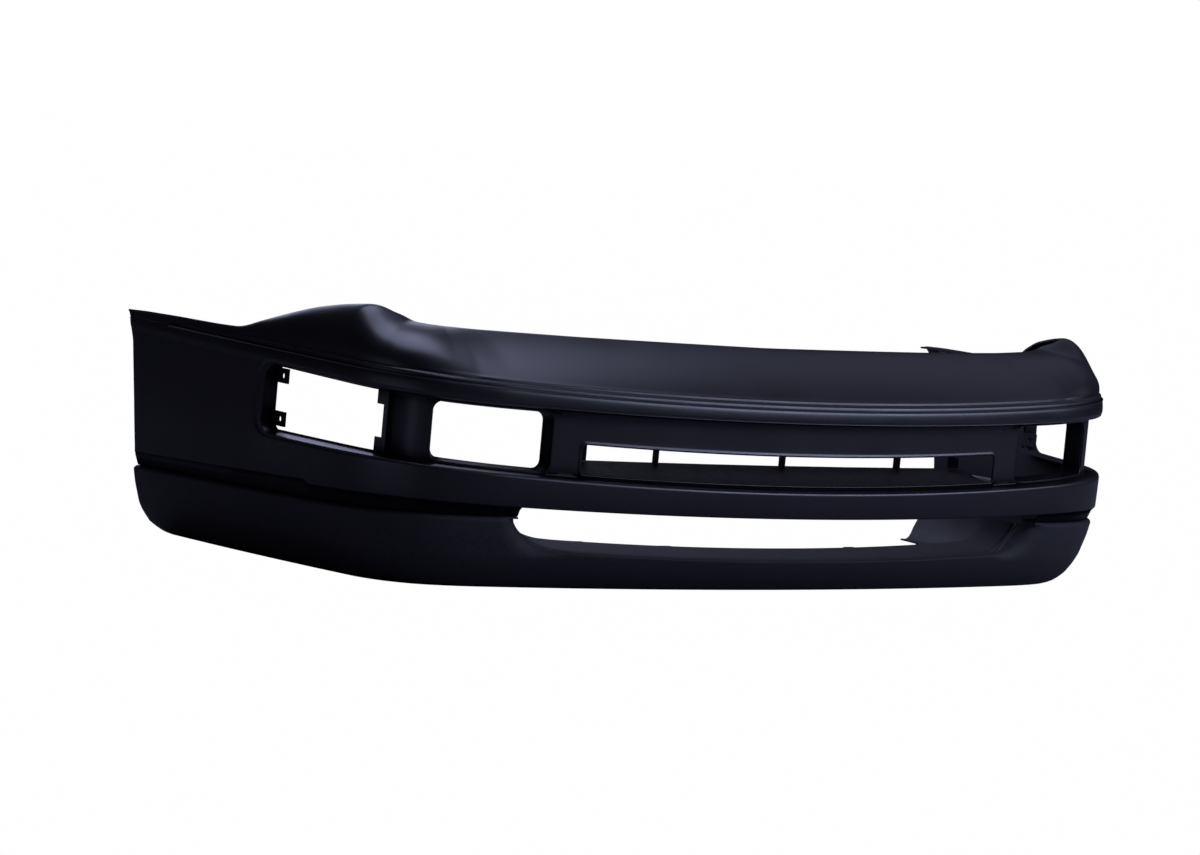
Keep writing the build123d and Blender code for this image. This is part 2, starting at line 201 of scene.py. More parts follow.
class Skin:
    """Collects patches of quads that are welded into one surface."""

    def __init__(self):
        self.points = []
        self.faces = []
        self.count = 0

    def grid(self, spots, closed=False):
        """Adds a patch whose rows run downward or into a hole, and columns to the viewer's right."""
        rows, columns = spots.shape[:2]
        self.points.append(spots.reshape(-1, 3))
        last = columns if closed else columns - 1
        for r in range(rows - 1):
            for c in range(last):
                a = self.count + r * columns + c
                b = self.count + r * columns + (c + 1) % columns
                self.faces.append((a, a + columns, b + columns, b))
        self.count += rows * columns

    def piece(self, name, material, thickness=WALL):
        """The welded surface as a solid object of that wall thickness."""
        mesh = bpy.data.meshes.new(name)
        mesh.from_pydata(np.concatenate(self.points).tolist(), [], self.faces)
        work = bmesh.new()
        work.from_mesh(mesh)
        bmesh.ops.remove_doubles(work, verts=work.verts, dist=WELD)
        bmesh.ops.dissolve_degenerate(work, edges=work.edges, dist=1e-6)
        work.to_mesh(mesh)
        work.free()
        thing = bpy.data.objects.new(name, mesh)
        bpy.context.scene.collection.objects.link(thing)
        solid = thing.modifiers.new("wall", "SOLIDIFY")
        solid.thickness = thickness / 1000
        solid.offset = -1
        settle(thing)
        finish_surface(thing, material)
        return thing


def settle(thing):
    """Applies a piece's modifiers to its mesh."""
    view = bpy.context.evaluated_depsgraph_get()
    result = bpy.data.meshes.new_from_object(thing.evaluated_get(view))
    thing.modifiers.clear()
    thing.data = result


def finish_surface(thing, material):
    """Gives a piece its material and smooth shading with sharp edges."""
    thing.data.materials.clear()
    thing.data.materials.append(material)
    thing.data.polygons.foreach_set("use_smooth", [True] * len(thing.data.polygons))
    thing.data.set_sharp_from_angle(angle=np.radians(SHARP_ANGLE))


# ---- materials ----------------------------------------------------------------------------------------
class Paint:
    """A procedural material on the Principled shader, with short calls for its nodes."""

    def __init__(self, name, roughness, specular, **sockets):
        self.material = bpy.data.materials.new(name)
        self.material.use_nodes = True
        self.tree = self.material.node_tree
        self.shader = self.tree.nodes["Principled BSDF"]
        self.shader.inputs["Roughness"].default_value = roughness
        self.shader.inputs["Specular IOR Level"].default_value = specular
        for socket, value in sockets.items():
            self.shader.inputs[socket.replace("_", " ")].default_value = value
        self.where = self.tree.nodes.new("ShaderNodeTexCoord").outputs["Object"]

    def node(self, kind, inputs, **settings):
        """Adds a node, with inputs that are values or other nodes' sockets."""
        node = self.tree.nodes.new(kind)
        for key, value in settings.items():
            setattr(node, key, value)
        for key, value in inputs.items():
            if isinstance(value, bpy.types.NodeSocket):
                self.tree.links.new(value, node.inputs[key])
            else:
                node.inputs[key].default_value = value
        return node

    def noise(self, scale, detail=3.0, rough=0.5, stretch=(1, 1, 1)):
        """Noise through the object's space."""
        spots = self.node("ShaderNodeMapping", {"Vector": self.where, "Scale": stretch}).outputs[0]
        inputs = {"Vector": spots, "Scale": scale, "Detail": detail, "Roughness": rough}
        return self.node("ShaderNodeTexNoise", inputs).outputs["Fac"]

    def ramp(self, value, stops):
        """Colours over a value, from (position, colour or grey) stops."""
        node = self.node("ShaderNodeValToRGB", {"Fac": value})
        while len(node.color_ramp.elements) < len(stops):
            node.color_ramp.elements.new(0.5)
        for element, (spot, colour) in zip(node.color_ramp.elements, stops):
            element.position = spot
            element.color = (*colour, 1) if isinstance(colour, tuple) else (colour, colour, colour, 1)
        return node.outputs["Color"]

    def mix(self, share, low, high):
        """Blend of two colours, each given as numbers or as a socket."""
        node = self.node("ShaderNodeMix", {"Factor": share}, data_type="RGBA")
        for socket, value in (("A", low), ("B", high)):
            target = [s for s in node.inputs if s.name == socket and s.type == "RGBA"][0]
            if isinstance(value, tuple):
                target.default_value = (*value, 1)
            else:
                self.tree.links.new(value, target)
        return [s for s in node.outputs if s.type == "RGBA"][0]

    def spread(self, value, low, high):
        """Stretches the middle of a noise's range to run from low to high."""
        inputs = {"Value": value, "From Min": 0.3, "From Max": 0.7, "To Min": low, "To Max": high}
        return self.node("ShaderNodeMapRange", inputs).outputs["Result"]

    def feed(self, socket, value):
        """Links a value to one of the shader's sockets."""
        self.tree.links.new(value, self.shader.inputs[socket])

    def bump(self, layers):
        """Chains (height, strength, distance in metres) layers into the shader's normal."""
        normal = None
        for value, strength, distance in layers:
            inputs = {"Height": value, "Strength": strength, "Distance": distance}
            if normal:
                inputs["Normal"] = normal
            normal = self.node("ShaderNodeBump", inputs).outputs["Normal"]
        self.feed("Normal", normal)


def edge_share(paint, low, high):
    """1 on sharp outer edges and 0 elsewhere."""
    point = paint.tree.nodes.new("ShaderNodeNewGeometry").outputs["Pointiness"]
    inputs = {"Value": point, "From Min": low, "From Max": high}
    return paint.node("ShaderNodeMapRange", inputs).outputs["Result"]


def painted_recess_shade(paint, reach, low, high):
    """Painted shade: a value from ambient occlusion that goes from low in a recess to high in the open.
    """
    shade = paint.node("ShaderNodeAmbientOcclusion", {"Distance": reach}).outputs["AO"]
    inputs = {"Value": shade, "From Min": 0.6, "From Max": 0.88, "To Min": low, "To Max": high}
    return paint.node("ShaderNodeMapRange", inputs).outputs["Result"]


def moulded_plastic():
    """Satin primer-black moulding: faint cloudiness, fine orange peel, slightly rubbed edges, and painted
    shade that dims its sheen in recesses.
    """
    paint = Paint("fascia_plastic", 0.42, 0.5)
    clouds = paint.noise(3.0, 4.0, 0.6)
    speck = paint.noise(240, 2.0)
    body = paint.ramp(clouds, [(0.3, (0.0042, 0.0036, 0.0052)), (0.7, (0.0062, 0.0055, 0.0075))])
    flecked = paint.mix(paint.spread(speck, 0.0, 0.35), body, (0.0088, 0.0086, 0.0115))
    rubbed = paint.mix(edge_share(paint, 0.52, 0.62), flecked, (0.016, 0.016, 0.021))
    paint.feed("Base Color", rubbed)
    paint.feed("Roughness", paint.spread(paint.noise(9.0, 5.0, 0.6), 0.32, 0.4))
    # painted shade: ambient occlusion lowers the sheen in recesses to stand in for the shade that falls
    # there
    paint.feed("Specular IOR Level", painted_recess_shade(paint, 0.3, 0.0, 0.6))
    peel = paint.noise(420, 2.0)
    ripple = paint.noise(26, 2.0)
    paint.bump([(ripple, 0.12, 0.0003), (peel, 0.12, 0.00006)])
    return paint.material


def grained_plastic():
    """Matte moulding with a fine leather-like grain."""
    paint = Paint("dam_plastic", 0.62, 0.5)
    clouds = paint.noise(5.0, 5.0, 0.65)
    body = paint.ramp(clouds, [(0.3, (0.015, 0.0145, 0.019)), (0.7, (0.023, 0.022, 0.028))])
    cells = paint.node("ShaderNodeTexVoronoi", {"Vector": paint.where, "Scale": 620.0},
                       feature="DISTANCE_TO_EDGE").outputs["Distance"]
    pits = paint.node("ShaderNodeMapRange", {"Value": cells, "From Max": 0.25}).outputs["Result"]
    grain = paint.noise(900, 3.0, 0.6)
    paint.feed("Base Color", paint.mix(pits, (0.008, 0.0078, 0.0105), body))
    paint.feed("Roughness", paint.spread(grain, 0.55, 0.7))
    paint.bump([(paint.noise(140, 3.0), 0.35, 0.0008), (pits, 0.8, 0.0003), (grain, 0.4, 0.0001)])
    return paint.material


def duct_plastic():
    """Unpainted brown-grey moulding behind the slot, with patches of dust."""
    paint = Paint("duct_plastic", 0.6, 0.25)
    dust = paint.noise(9, 6.0, 0.6)
    body = paint.ramp(dust, [(0.25, (0.02, 0.0175, 0.018)), (0.75, (0.029, 0.0255, 0.0255))])
    paint.feed("Base Color", body)
    paint.feed("Roughness", paint.spread(paint.noise(60, 4.0), 0.5, 0.7))
    paint.bump([(paint.noise(500, 3.0), 0.3, 0.00008)])
    return paint.material


def nylon():
    """Black nylon of the rivets' sleeves and pins."""
    paint = Paint("nylon", 0.45, 0.4)
    paint.feed("Base Color", paint.ramp(paint.noise(180, 4.0), [(0.3, 0.012), (0.7, 0.022)]))
    paint.feed("Roughness", paint.spread(paint.noise(90, 3.0), 0.38, 0.52))
    paint.bump([(paint.noise(1500, 2.0), 0.2, 0.00004)])
    return paint.material


def coated_steel():
    """Zinc-coated steel of the retainer strips, with level streaks."""
    paint = Paint("coated_steel", 0.4, 0.5, Metallic=0.85)
    streaks = paint.noise(40, 5.0, 0.7, stretch=(1, 1, 6))
    colour = paint.ramp(streaks, [(0.25, (0.10, 0.095, 0.08)), (0.75, (0.24, 0.23, 0.2))])
    paint.feed("Base Color", colour)
    paint.feed("Roughness", paint.spread(streaks, 0.32, 0.55))
    paint.bump([(paint.noise(700, 3.0), 0.2, 0.00005)])
    return paint.material


MATERIALS = {
    "fascia_plastic": moulded_plastic(),
    "dam_plastic": grained_plastic(),
    "duct_plastic": duct_plastic(),
    "nylon": nylon(),
    "coated_steel": coated_steel(),
}


# ---- columns and the moulding's face ------------------------------------------------------------------
HOLE_MARGIN = 16.0          # width of the channel floor's patch beside an opening
LAMP_PATCH = (DRIVING_LAMP[0] - HOLE_MARGIN, DRIVING_LAMP[1] + HOLE_MARGIN)
SLOT_PATCH = SLOT_HALF + HOLE_MARGIN


def spaced(limits, step):
    """Evenly spaced values through every limit, at most step apart."""
    values = [limits[0]]
    for low, high in zip(limits, limits[1:]):
        count = max(int(np.ceil((high - low) / step)), 1)
        values += list(low + (high - low) * np.arange(1, count + 1) / count)
    return np.array(values)


# contour distances of the columns: about evenly spaced to the channel's bend, then steps round its end
STRAIGHT = spaced([0, SLOT_PATCH, LAMP_PATCH[0], INTAKE_HALF, LAMP_PATCH[1], PILLAR_END, *BEVEL_STEP,
                   CHANNEL_BEND], 7)
END_STEPS = 16
END = np.linspace(CHANNEL_BEND, PATCH_END, END_STEPS + 1)
HALF = np.concatenate([STRAIGHT, END[1:]])
COLUMNS = np.concatenate([-HALF[:0:-1], HALF])
FLANK_SHARES = spaced([0, 0.62, 0.66, 1.0], 0.028)     # shares of the way along a flank
FLANK_ROWS = 28             # steps down the channel's rear end


def patch_top(s):
    """Upper limit of the area around the channel."""
    return height(ROLL_BOTTOM, s) + PATCH_ABOVE


def patch_bottom(s):
    """Lower limit of the area around the channel."""
    return height(LOWER_ROLL_TOP, s) - PATCH_BELOW


def proud(s):
    """How far the lower roll stands out."""
    return ROLL_PROUD + ROLL_PROUD_FRONT * (1 - smooth(np.abs(s), 985, 1100))


def roll_bottom(s):
    """Lower edge of the lower roll, which steps up behind the corner where the bevel widens."""
    return height(LOWER_ROLL_BOTTOM, s) + BEVEL_RISE * smooth(np.abs(s), *BEVEL_STEP)


def face(s, z):
    """Outward distance of the moulding's outer face between the rolls' far edges, channel left out."""
    s, z = np.broadcast_arrays(np.asarray(s, float), np.asarray(z, float))
    low = roll_bottom(s)
    lower = height(LOWER_ROLL_TOP, s)
    upper = height(ROLL_BOTTOM, s)
    top = height(ROLL_TOP, s)
    stand = proud(s)
    share = np.clip((z - low) / (lower - low), 0, 1)
    base = 2 + 3.2 * (1 - smooth(np.abs(s), 700, 1000))
    on_lower = base + (stand - base) * share + LOWER_FULLNESS * 4 * share * (1 - share)
    share = np.clip((z - lower) / (upper - lower), 0, 1)
    on_flank = stand * (1 - share)
    share = np.clip((z - upper) / (top - upper), 0, 1)
    on_upper = -UPPER_LEAN * share ** 2 + UPPER_FULLNESS * 4 * share * (1 - share)
    outward = np.where(z < lower, on_lower, np.where(z < upper, on_flank, on_upper))
    return outward - REAR_TUCK * smooth(np.abs(s), 1080, 1180)


# ---- fascia -------------------------------------------------------------------------------------------
# (share of the way from the crease to the roll's top, rise) of the step under the crease, and of the
# ledge with its ridge and groove; then the roll's rounded top as (outward distance, drop)
CREASE_STEP = ((0.0, 0.6), (0.02, -0.3), (0.04, -2.2), (0.065, -3.4), (0.11, -3.6))
LEDGE = ((0.3, -2.8), (0.5, -0.9), (0.6, 0.5), (0.65, 1.2), (0.69, 1.2), (0.72, 0.0), (0.745, -3.0),
         (0.775, -4.8), (0.82, -4.8), (0.86, -3.4), (0.9, -1.4), (0.935, -0.5))
ROLL_ROUND = ((-2.7, 1.5), (-1.7, 2.6), (-1.1, 3.8))


def upper_rows(s):
    """(d, z) rows from the hood flange over the panel, the ledge and its groove to the roll's face."""
    inset = np.interp(np.abs(s), EDGE_MARKS, SOFT_INSET)
    top = np.interp(np.abs(s), EDGE_MARKS, SOFT_HEIGHT)
    edge = np.interp(np.abs(s), CREASE_EDGE_S, CREASE_EDGE_INSET)
    lift = np.interp(np.abs(s), CREASE_EDGE_S, CREASE_EDGE_LIFT)
    crease = np.minimum(height(CREASE, s) + lift, top - 2.5)
    groove = height(ROLL_TOP, s)
    at_ear = smooth(np.abs(s), 840, 860) * (1 - smooth(np.abs(s), 1150, 1170))
    wide = HOOD_FLANGE - (HOOD_FLANGE - EAR_FLANGE) * at_ear
    rows = [(-inset - wide, top - 1.4), (-inset - wide * 0.8, top - 0.9), (-inset - 6, top - 0.5)]
    tall = np.maximum(top - crease, 1)
    bulge = PANEL_BULGE * np.minimum(tall / 80, 1)
    ear = smooth(np.abs(s), 570, 810) * (1 - smooth(np.abs(s), 1030, 1140))

    def panel(t):
        """Point a share t of the way down: nearly flat at the front, a quarter ellipse at the ears."""
        angle = np.pi / 2 * (1 - t)
        swell = 4 * t * (1 - t) * bulge * (1 - ear)
        out = (1 - ear) * (1 - t) + ear * (1 - np.cos(angle))
        up = (1 - ear) * (1 - t) + ear * np.sin(angle)
        return (-edge - (inset - edge) * out + 0.6 * swell, crease + tall * up + 0.8 * swell)

    # the hood edge is a curved bend from the flange into the panel
    first = 0.05
    start = panel(first)
    for t in (0.15, 0.35, 0.55, 0.75, 0.9):
        bend = ((1 - t) ** 2, 2 * t * (1 - t), t ** 2)
        rows.append(tuple(bend[0] * a + bend[1] * b + bend[2] * c
                          for a, b, c in zip((-inset - 4, top - 0.4), (-inset, top), start)))
    for t in np.linspace(first, 0.985, 22):
        rows.append(panel(t))
    # the ledge's relief fades out on the flank, and the step shrinks where the panel is low
    fade = 1 - smooth(np.abs(s), 1326, 1334)
    step = np.minimum(tall / 12, 1)
    run = edge - 2.4
    fall = crease - groove
    for share, lift in CREASE_STEP:
        rows.append((-edge + run * share, crease - fall * share + lift * step))
    for share, lift in LEDGE:
        rows.append((-edge + run * share, crease - fall * share + lift * fade - 0.4 * (1 - fade)))
    for d, drop in ROLL_ROUND:
        rows.append((d, groove - drop))
    low = patch_top(s)
    for share in (0.35, 0.7, 1.0):
        z = (groove - 3.8) * (1 - share) + low * share
        rows.append((face(s, z), z))
    return rows


def lower_rows(s):
    """Rows from below the channel down the lower roll to its bottom edge."""
    rows = []
    bottom = roll_bottom(s)
    for share in np.linspace(0, 1, 7):
        z = patch_bottom(s) * (1 - share) + (bottom + 3) * share
        rows.append((face(s, z), z))
    return rows + [(face(s, bottom + 1.6) - 0.1, bottom + 1.6), (face(s, bottom) - 0.5, bottom + 0.6)]


def bevel_rows(s):
    """Rows from the lower roll's edge over the bevel to the seam and its hidden flange."""
    bottom = roll_bottom(s)
    seam = height(SEAM, s)
    rows = [(face(s, bottom) - 0.5, bottom + 0.6), (face(s, bottom) - 1.3, bottom - 0.5)]
    for share in (0.25, 0.5, 0.75, 1.0):
        z = (bottom - 0.5) * (1 - share) + (seam + 2.2) * share
        rows.append((0.7 + (1 - SEAM_INSET - 0.7) * share, z))
    rows += [(-SEAM_INSET + 0.4, seam + 1.0), (-SEAM_INSET - 0.8, seam + 0.2), (-SEAM_INSET - 3, seam)]
    return rows + [(-SEAM_INSET - 30, seam)]


def middle_rows(s):
    """Rows between the rolls, behind the channel's end."""
    shares = np.linspace(0, 1, FLANK_ROWS + 1)
    heights = [patch_top(s) * (1 - t) + patch_bottom(s) * t for t in shares]
    return [(face(s, z), z) for z in heights]


def lay(rows, s):
    """Frame positions of (d, z) rows at the columns s."""
    return np.stack([place(s, d, z) for d, z in rows])


def lay_flank(make_rows, side, heights=REAR_Z, edge=REAR_Y):
    """Frame positions of rows on a flank, where the columns lean with the rear edge."""
    s = PATCH_END + (FLANK_END - PATCH_END) * FLANK_SHARES
    spots = []
    for d, z in make_rows(s):
        end = rear_end(z[-1], heights, edge)
        moved = PATCH_END + (end - PATCH_END) * FLANK_SHARES
        spots.append(place(side * moved, d, np.interp(moved, s, z)))
    spots = np.stack(spots)
    return spots if side > 0 else spots[:, ::-1]


def end_path():
    """Outer limit of the channel patch around its rear end, as (s, z)."""
    top, bottom = patch_top(PATCH_END), patch_bottom(PATCH_END)
    outer = [(s, patch_top(s)) for s in END]
    outer += [(PATCH_END, top + (bottom - top) * t) for t in np.linspace(0, 1, FLANK_ROWS + 1)[1:]]
    outer += [(s, patch_bottom(s)) for s in END[::-1][1:]]
    return np.array([(float(a), float(b)) for a, b in outer])


def rounded_end():
    """Edge points and normals of the channel's rear end: the top, two round corners and the bottom."""
    corner = CHANNEL_CORNER
    upper = float(height(ROLL_BOTTOM, CHANNEL_END))
    lower = float(height(LOWER_ROLL_TOP, CHANNEL_END))
    turns = np.linspace(0, np.pi / 2, 25)
    run = CHANNEL_END - corner
    top = [(s, float(height(ROLL_BOTTOM, s))) for s in np.linspace(CHANNEL_BEND, run, 8)]
    top += [(run + corner * np.sin(a), upper - corner + corner * np.cos(a)) for a in turns[1:]]
    bottom = [(s, float(height(LOWER_ROLL_TOP, s))) for s in np.linspace(CHANNEL_BEND, run, 8)]
    bottom += [(run + corner * np.sin(a), lower + corner - corner * np.cos(a)) for a in turns[1:]]
    path = np.array(top + bottom[::-1])
    length = path_steps(path)[-1]
    first = (run - CHANNEL_BEND) + corner * np.pi / 4
    marks = np.concatenate([
        np.linspace(0, first, END_STEPS + 1),
        np.linspace(first, length - first, FLANK_ROWS + 1)[1:],
        np.linspace(length - first, length, END_STEPS + 1)[1:],
    ])
    along = path_points(path, marks + 0.5) - path_points(path, marks - 0.5)
    return path_points(path, marks), outward_of(along)


def channel_loop():
    """Closed loop round the channel, clockwise from the front: outer points, edge points and normals."""
    straight = STRAIGHT[:-1]
    inner_end, normals_end = rounded_end()
    outer_end = end_path()
    top = np.concatenate([-straight[:0:-1], straight])
    outer = [np.stack([top, patch_top(top)], 1), outer_end]
    edge = [np.stack([top, height(ROLL_BOTTOM, top)], 1), inner_end]
    up = np.tile([0.0, 1.0], (len(top), 1))
    normal = [up, normals_end]
    outer += [np.stack([top[::-1], patch_bottom(top[::-1])], 1), outer_end[::-1] * (-1, 1)]
    edge += [np.stack([top[::-1], height(LOWER_ROLL_TOP, top[::-1])], 1), inner_end[::-1] * (-1, 1)]
    normal += [-up, normals_end[::-1] * (-1, 1)]
    return np.concatenate(outer), np.concatenate(edge), np.concatenate(normal)


# (distance outside the channel's edge, drop below the face) of the double line round the channel, and of
# the plain round-over that takes its place along the lower edge ahead of the turn lamps
LIP = [(7.5, 0.0), (5.6, 0.0), (4.9, -0.15), (4.5, -0.6), (4.2, -1.05), (3.7, -1.3), (2.6, -1.35),
       (1.7, -1.3), (1.35, -1.0), (0.9, -0.75), (0.4, -0.85), (0.0, -1.3), (-0.3, -2.1), (-0.5, -3.2)]
PLAIN = [(7.5, 0.0), (5.6, -0.05), (4.9, -0.1), (4.5, -0.15), (4.2, -0.2), (3.7, -0.3), (2.6, -0.6),
         (1.7, -1.0), (1.35, -1.25), (0.9, -1.6), (0.4, -2.2), (0.0, -3.0), (-0.3, -4.0), (-0.5, -5.2)]
WALL_SHARES = [0.12, 0.3, 0.5, 0.7, 0.86]
FLOOR_EDGE = 4.6            # distance from the channel's edge to its floor


def floor_depth(s):
    """Outward distance of the channel's floor, which dips toward the turn lamp."""
    return -FLOOR - FLOOR_DIP * smooth(np.abs(s), DIP_START, PILLAR_END)


def wall_depth(s):
    """Outward distance of the wall's foot: the floor's, and less deep round the turn lamp."""
    dip = FLOOR_DIP * smooth(np.abs(s), DIP_START, PILLAR_END)
    return -FLOOR - dip * (1 - WALL_RETURN * smooth(np.abs(s), PILLAR_END, 840))


def channel_rings():
    """Rings of (s, d, z) from the patch's outer limit over the lip and down the channel's wall."""
    outer, edge, normal = channel_loop()
    s, z = edge.T
    lined = np.where(normal[:, 1] < -0.7, smooth(np.abs(s), 760, 900), 1.0)
    widen = 1 + 2.4 * normal[:, 0] ** 2
    first = edge + normal * (LIP[0][0] * widen)[:, None]
    rings = []
    for share in (0.0, 0.5):
        spot = outer * (1 - share) + first * share
        rings.append((spot[:, 0], face(spot[:, 0], spot[:, 1]), spot[:, 1]))
    for (reach, lined_drop), (_, plain_drop) in zip(LIP, PLAIN):
        away = reach * widen if reach > 0 else reach
        ring_s, ring_z = s + normal[:, 0] * away, z + normal[:, 1] * away
        level = face(ring_s, ring_z) if reach > 0 else face(s, z)
        rings.append((ring_s, level + lined_drop * lined + plain_drop * (1 - lined), ring_z))
    lip = rings[-1][1]
    bottom = wall_depth(s)
    # the wall leans inward as it goes down, and ends in a small bend onto the floor
    wall = [(-0.5 - 2.6 * share, lip * (1 - share) + bottom * share) for share in WALL_SHARES]
    for away, depth in wall + [(-3.4, bottom * 0.965), (-FLOOR_EDGE, bottom)]:
        rings.append((s + normal[:, 0] * away, depth, z + normal[:, 1] * away))
    return rings


def floor_limits(s):
    """Upper and lower limit of the channel's floor."""
    return height(ROLL_BOTTOM, s) - FLOOR_EDGE, height(LOWER_ROLL_TOP, s) + FLOOR_EDGE


FLOOR_ROWS = 16


def floor_spot(s, share):
    """(s, z) at a share of the way down the channel's floor."""
    top, bottom = floor_limits(s)
    return np.stack([s + 0 * share, top + (bottom - top) * share], axis=-1)


def hole_loop(hole, radius, counts):
    """Points round a rounded opening, clockwise from its top left corner's middle, matched to a patch.

    hole gives its (left, right) limits and functions for its top and bottom heights; counts are the
    steps along the top and down the side.
    """
    left, right, top_of, bottom_of = hole
    arc = 5     # steps in half a corner

    def corner(s, z, a):
        return s + radius * np.cos(a), z + radius * np.sin(a)

    centres = [(left + radius, -1, top_of), (right - radius, -1, top_of),
               (right - radius, 1, bottom_of), (left + radius, 1, bottom_of)]
    centres = [(s, float(of(np.array(s))) + way * radius) for s, way, of in centres]
    angles = [(135, 90), (90, 45), (45, 0), (0, -45), (-45, -90), (-90, -135), (-135, -180), (180, 135)]
    points = []
    for side in range(4):
        start, end = centres[side], centres[(side + 1) % 4]
        steps = counts[side % 2]
        a1, a2 = np.radians(angles[2 * side]), np.radians(angles[2 * side + 1])
        first = [corner(*start, a) for a in np.linspace(a1[0], a1[1], arc + 1)]
        last = [corner(*end, a) for a in np.linspace(a2[0], a2[1], arc + 1)]
        middle = np.linspace(0, 1, steps - 2 * arc + 1)[1:-1]
        line = [(first[-1][0] * (1 - t) + last[0][0] * t, first[-1][1] * (1 - t) + last[0][1] * t)
                for t in middle]
        if side in (0, 2):
            of = top_of if side == 0 else bottom_of
            line = [(a, float(of(np.array(a)))) for a, b in line]
        points += (first + line + last)[:-1]
    return np.array(points)


def loop_normals(points):
    """Unit vectors that point out of a closed clockwise loop."""
    return outward_of(np.roll(points, -1, axis=0) - np.roll(points, 1, axis=0))


def patch_border(columns):
    """Border of a piece of the channel floor, clockwise from its top left corner."""
    shares = np.linspace(0, 1, FLOOR_ROWS + 1)
    top = [floor_spot(np.array(s), np.array(0.0)) for s in columns[:-1]]
    right = [floor_spot(columns[-1], t) for t in shares[:-1]]
    bottom = [floor_spot(np.array(s), np.array(1.0)) for s in columns[:0:-1]]
    left = [floor_spot(columns[0], t) for t in shares[:0:-1]]
    return np.array(top + right + bottom + left)


def opening(skin, columns, hole, radius, rim):
    """Piece of the channel floor with a rounded opening; rim lists (outside distance, rise) rings."""
    border = patch_border(columns)
    loop = hole_loop(hole, radius, (len(columns) - 1, FLOOR_ROWS))
    normal = loop_normals(loop)
    rows = []
    first = loop + normal * rim[0][0]
    for share in np.linspace(0, 1, 5)[:-1]:
        spot = border * (1 - share) + first * share
        rows.append(place(spot[:, 0], floor_depth(spot[:, 0]), spot[:, 1]))
    for reach, rise in rim:
        spot = loop + normal * reach
        rows.append(place(spot[:, 0], floor_depth(spot[:, 0]) + rise, spot[:, 1]))
    skin.grid(np.stack(rows), closed=True)


def lamp_hole(side):
    """Limits of a driving-lamp opening, as hole_loop takes them."""
    left, right = sorted((side * DRIVING_LAMP[0], side * DRIVING_LAMP[1]))
    return (left, right, lambda s: height(ROLL_BOTTOM, s) - LAMP_MARGIN,
            lambda s: height(LOWER_ROLL_TOP, s) + LAMP_MARGIN)


def slot_hole():
    """Limits of the centre slot, as hole_loop takes them."""
    return (-SLOT_HALF, SLOT_HALF, lambda s: height(LOWER_ROLL_TOP, s) + SLOT_HEIGHTS[1],
            lambda s: height(LOWER_ROLL_TOP, s) + SLOT_HEIGHTS[0])


# (distance outside the opening, rise over the channel's floor) of the openings' rims
LAMP_RIM = [(4.0, 0.0), (1.6, 0.0), (0.9, -0.15), (0.35, -0.5), (0.05, -1.1)]
SLOT_RIM = [(7.0, 0.0), (5.2, 0.25), (3.8, 1.0), (2.5, 1.5), (1.3, 1.45), (0.5, 0.8), (0.1, -0.1),
            (0.0, -1.2)]
# (distance outside the opening, depth behind the contour) of the tube behind a driving-lamp opening
LAMP_TUBE = [(1.5, 23.6), (0.4, 23.8), (0.0, 24.6), (-0.6, 30), (-1.6, 38), (-2.6, 46), (-3.3, 51.5),
             (-3.2, 53.2), (-2.2, 53.9), (0.5, 54)]
TUBE_WALL = 2.4


def columns_in(first, last):
    """The columns from one distance to another, given in either order."""
    low, high = sorted((first, last))
    return COLUMNS[(COLUMNS > low - 0.01) & (COLUMNS < high + 0.01)]


def floor_piece(skin, columns):
    """Piece of the channel floor without an opening."""
    rows = []
    for share in np.linspace(0, 1, FLOOR_ROWS + 1):
        spot = floor_spot(columns, np.full_like(columns, share))
        rows.append(place(spot[:, 0], floor_depth(spot[:, 0]), spot[:, 1]))
    skin.grid(np.stack(rows))


def build_fascia():
    """Skin of the upper moulding, from the hood flange down to the seam."""
    skin = Skin()
    skin.grid(lay(upper_rows(COLUMNS), COLUMNS))
    skin.grid(lay(lower_rows(COLUMNS), COLUMNS))
    for side in (-1, 1):
        outer = columns_in(side * INTAKE_HALF, side * PATCH_END)
        skin.grid(lay(bevel_rows(outer), outer))
        for rows in (upper_rows, lower_rows, bevel_rows, middle_rows):
            skin.grid(lay_flank(rows, side))
    skin.grid(np.stack([place(s, d, z) for s, d, z in channel_rings()]), closed=True)
    for low, high in ((LAMP_PATCH[1], PILLAR_END), (SLOT_PATCH, LAMP_PATCH[0])):
        for side in (-1, 1):
            floor_piece(skin, columns_in(side * low, side * high))
    for side in (-1, 1):
        columns = columns_in(side * LAMP_PATCH[0], side * LAMP_PATCH[1])
        opening(skin, columns, lamp_hole(side), LAMP_CORNER, LAMP_RIM)
    opening(skin, columns_in(-SLOT_PATCH, SLOT_PATCH), slot_hole(), SLOT_CORNER, SLOT_RIM)
    return skin.piece("fascia_skin", MATERIALS["fascia_plastic"])


def build_lamp_surround(side):
    """Rounded tube behind a driving-lamp opening, tapering slightly toward the rear."""
    columns = columns_in(side * LAMP_PATCH[0], side * LAMP_PATCH[1])
    loop = hole_loop(lamp_hole(side), LAMP_CORNER, (len(columns) - 1, FLOOR_ROWS))
    normal = loop_normals(loop)
    skin = Skin()
    rows = []
    for reach, depth in LAMP_TUBE:
        spot = loop + normal * reach
        rows.append(place(spot[:, 0], -depth, spot[:, 1]))
    skin.grid(np.stack(rows), closed=True)
    name = "lamp_surround_" + ("right" if side > 0 else "left")
    return skin.piece(name, MATERIALS["fascia_plastic"], TUBE_WALL)


